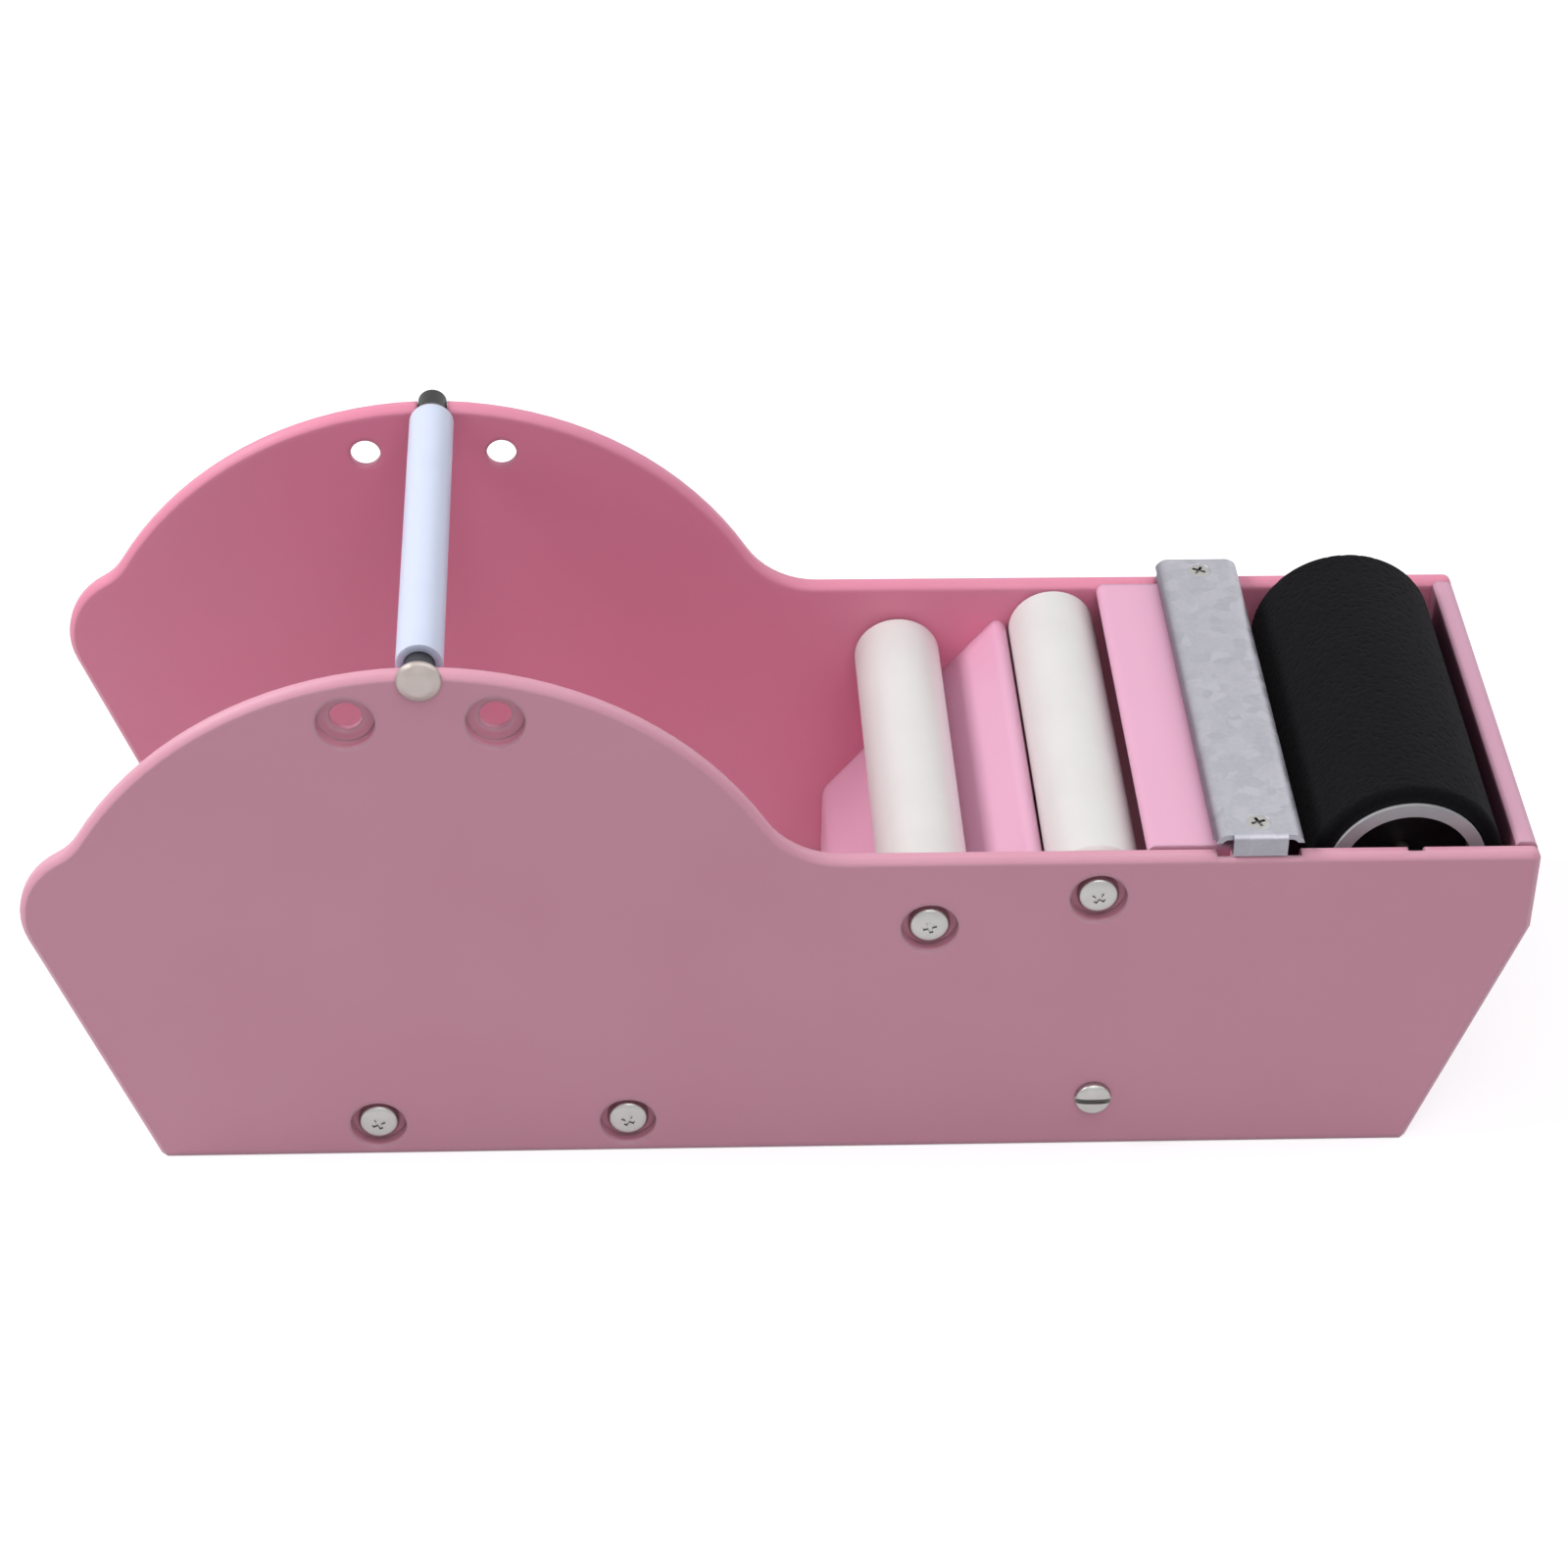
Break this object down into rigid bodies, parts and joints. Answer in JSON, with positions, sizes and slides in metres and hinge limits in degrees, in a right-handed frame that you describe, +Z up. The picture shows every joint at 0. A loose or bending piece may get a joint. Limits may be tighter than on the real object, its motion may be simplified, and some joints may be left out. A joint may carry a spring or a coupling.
{
  "type": "water-activated paper tape dispenser",
  "caption": "Table-top dispenser for gummed paper tape: side plates with a roll bay, keeper bar, guide rollers, cutter bar and a foam wetting roller in a water tank.",
  "frame": {"origin": "on the ground, in the middle of the outline", "axes": "+X along the tape, from the roll bay to the wetting roller; +Y from the near plate to the far plate; +Z up"},
  "size_m": [0.3, 0.107, 0.1222],
  "materials": {
    "pink_plastic": "moulded, satin",
    "galvanised_steel": "mottled zinc coat, satin",
    "screw_steel": "bright zinc plate",
    "axle_steel": "turned",
    "white_plastic": "extruded tube, satin",
    "grey_plastic": "moulded",
    "black_plastic": "moulded",
    "black_foam": "open-cell foam"
  },
  "bodies": {
    "frame": {"near_side_plate": "pink_plastic", "far_side_plate": "pink_plastic", "feed_ramp": "pink_plastic", "feed_table": "pink_plastic", "water_tank": "pink_plastic", "cutter_bar": "galvanised_steel", "cutter_bar_screws": "screw_steel", "tie_spacer": "axle_steel", "tie_screws": "screw_steel", "near_axle_screws": "screw_steel", "far_axle_screws": "screw_steel", "back_support_axle": "axle_steel", "front_support_axle": "axle_steel", "lower_guide_axle": "axle_steel", "upper_guide_axle": "axle_steel"},
    "back_support_roller": {"back_support_tube": "white_plastic", "back_support_bushes": "grey_plastic"},
    "front_support_roller": {"front_support_tube": "white_plastic", "front_support_bushes": "grey_plastic"},
    "lower_guide_roller": {"lower_guide_tube": "white_plastic", "lower_guide_bushes": "grey_plastic"},
    "upper_guide_roller": {"upper_guide_tube": "white_plastic", "upper_guide_bushes": "grey_plastic"},
    "keeper_bar": {"keeper_rod": "axle_steel", "keeper_tip": "black_plastic"},
    "keeper_tube": {"keeper_sleeve": "white_plastic"},
    "wetting_axle": {"wet_axle": "axle_steel"},
    "wetting_roller": {"wet_core": "grey_plastic", "wet_hubs": "black_plastic", "foam_sleeve": "black_foam"}
  },
  "joints": [
    {"name": "back_support_spin", "type": "hinge", "parent": "frame", "child": "back_support_roller", "pos_m": [-0.082, 0, 0.0074], "axis": [0, 1, 0], "continuous": true},
    {"name": "front_support_spin", "type": "hinge", "parent": "frame", "child": "front_support_roller", "pos_m": [-0.031, 0, 0.0074], "axis": [0, 1, 0], "continuous": true},
    {"name": "lower_guide_spin", "type": "hinge", "parent": "frame", "child": "lower_guide_roller", "pos_m": [0.02906, 0, 0.0566], "axis": [0, 1, 0], "continuous": true},
    {"name": "upper_guide_spin", "type": "hinge", "parent": "frame", "child": "upper_guide_roller", "pos_m": [0.0624, 0, 0.0635], "axis": [0, 1, 0], "continuous": true},
    {"name": "keeper_lift", "type": "slide", "parent": "frame", "child": "keeper_bar", "axis": [0, 0, 1], "range_m": [0, 0.04]},
    {"name": "keeper_spin", "type": "hinge", "parent": "keeper_bar", "child": "keeper_tube", "pos_m": [-0.0702, 0, 0.1176], "axis": [0, 1, 0], "continuous": true},
    {"name": "wetting_lift", "type": "slide", "parent": "frame", "child": "wetting_axle", "axis": [0, 0, 1], "range_m": [0, 0.05]},
    {"name": "wetting_spin", "type": "hinge", "parent": "wetting_axle", "child": "wetting_roller", "pos_m": [0.1251, 0, 0.0642], "axis": [0, 1, 0], "continuous": true}
  ]
}
